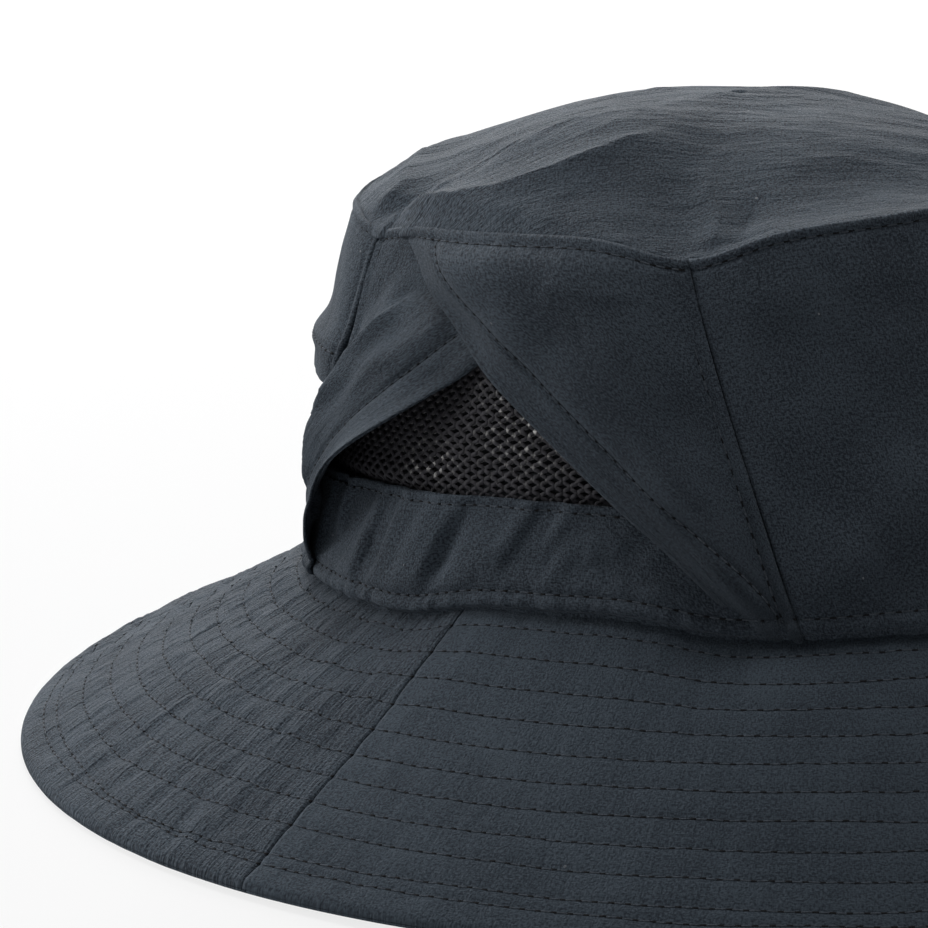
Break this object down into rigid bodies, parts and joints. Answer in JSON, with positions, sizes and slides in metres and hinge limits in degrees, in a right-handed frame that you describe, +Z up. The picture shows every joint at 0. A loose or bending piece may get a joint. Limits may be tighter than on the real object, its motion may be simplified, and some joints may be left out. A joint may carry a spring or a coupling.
{
  "type": "vented sun hat",
  "caption": "Wide-brimmed cloth sun hat whose crown has crossed vent flaps over insect mesh at the sides and a hanging vent flap at the back.",
  "frame": {"origin": "middle of the rim, on the surface that the rim rests on", "axes": "+Z up, the front of the hat faces -Y, +X is the wearer's left"},
  "size_m": [0.2854, 0.3118, 0.1329],
  "materials": {
    "shell_cloth": "matte crinkled plain-weave nylon, sewn with thread of its own colour",
    "insect_mesh": "fine knitted net",
    "interlining": "stiff felted interlining, hidden between the brim's cloths",
    "lining_tape": "ribbed cotton tape"
  },
  "bodies": {
    "hat": {"crown_tip": "shell_cloth", "front_panel": "shell_cloth", "back_panel": "shell_cloth", "back_mesh": "insect_mesh", "back_flap": "shell_cloth", "right_base_panel": "shell_cloth", "right_mesh": "insect_mesh", "right_rear_flap": "shell_cloth", "right_front_flap": "shell_cloth", "left_base_panel": "shell_cloth", "left_mesh": "insect_mesh", "left_rear_flap": "shell_cloth", "left_front_flap": "shell_cloth", "brim_top_front": "shell_cloth", "brim_top_back": "shell_cloth", "brim_interlining_front": "interlining", "brim_interlining_back": "interlining", "brim_under_front": "shell_cloth", "brim_under_back": "shell_cloth", "sweatband": "lining_tape", "tip_seam_binding": "lining_tape", "side_seam_bindings": "lining_tape"},
    "back_edge": {"back_flap_hem": "shell_cloth"},
    "right_rear_edge": {"right_rear_hem": "shell_cloth"},
    "right_front_edge": {"right_front_hem": "shell_cloth"},
    "left_rear_edge": {"left_rear_hem": "shell_cloth"},
    "left_front_edge": {"left_front_hem": "shell_cloth"}
  },
  "joints": [
    {"name": "back_flap_lift", "type": "hinge", "parent": "hat", "child": "back_edge", "pos_m": [0, 0.08974, 0.09571], "axis": [1, 0, 0], "range_deg": [0, 50]},
    {"name": "right_rear_flap_lift", "type": "hinge", "parent": "hat", "child": "right_rear_edge", "pos_m": [-0.06846, 0.05301, 0.06091], "axis": [0.1352, 0.7489, -0.6488], "range_deg": [0, 40]},
    {"name": "right_front_flap_lift", "type": "hinge", "parent": "hat", "child": "right_front_edge", "pos_m": [-0.07571, -0.04358, 0.08085], "axis": [-0.0091, 0.8429, 0.5379], "range_deg": [0, 40]},
    {"name": "left_rear_flap_lift", "type": "hinge", "parent": "hat", "child": "left_rear_edge", "pos_m": [0.06846, 0.05301, 0.06091], "axis": [0.1352, -0.7489, 0.6488], "range_deg": [0, 40]},
    {"name": "left_front_flap_lift", "type": "hinge", "parent": "hat", "child": "left_front_edge", "pos_m": [0.07571, -0.04358, 0.08085], "axis": [-0.0091, -0.8429, -0.5379], "range_deg": [0, 40]}
  ]
}
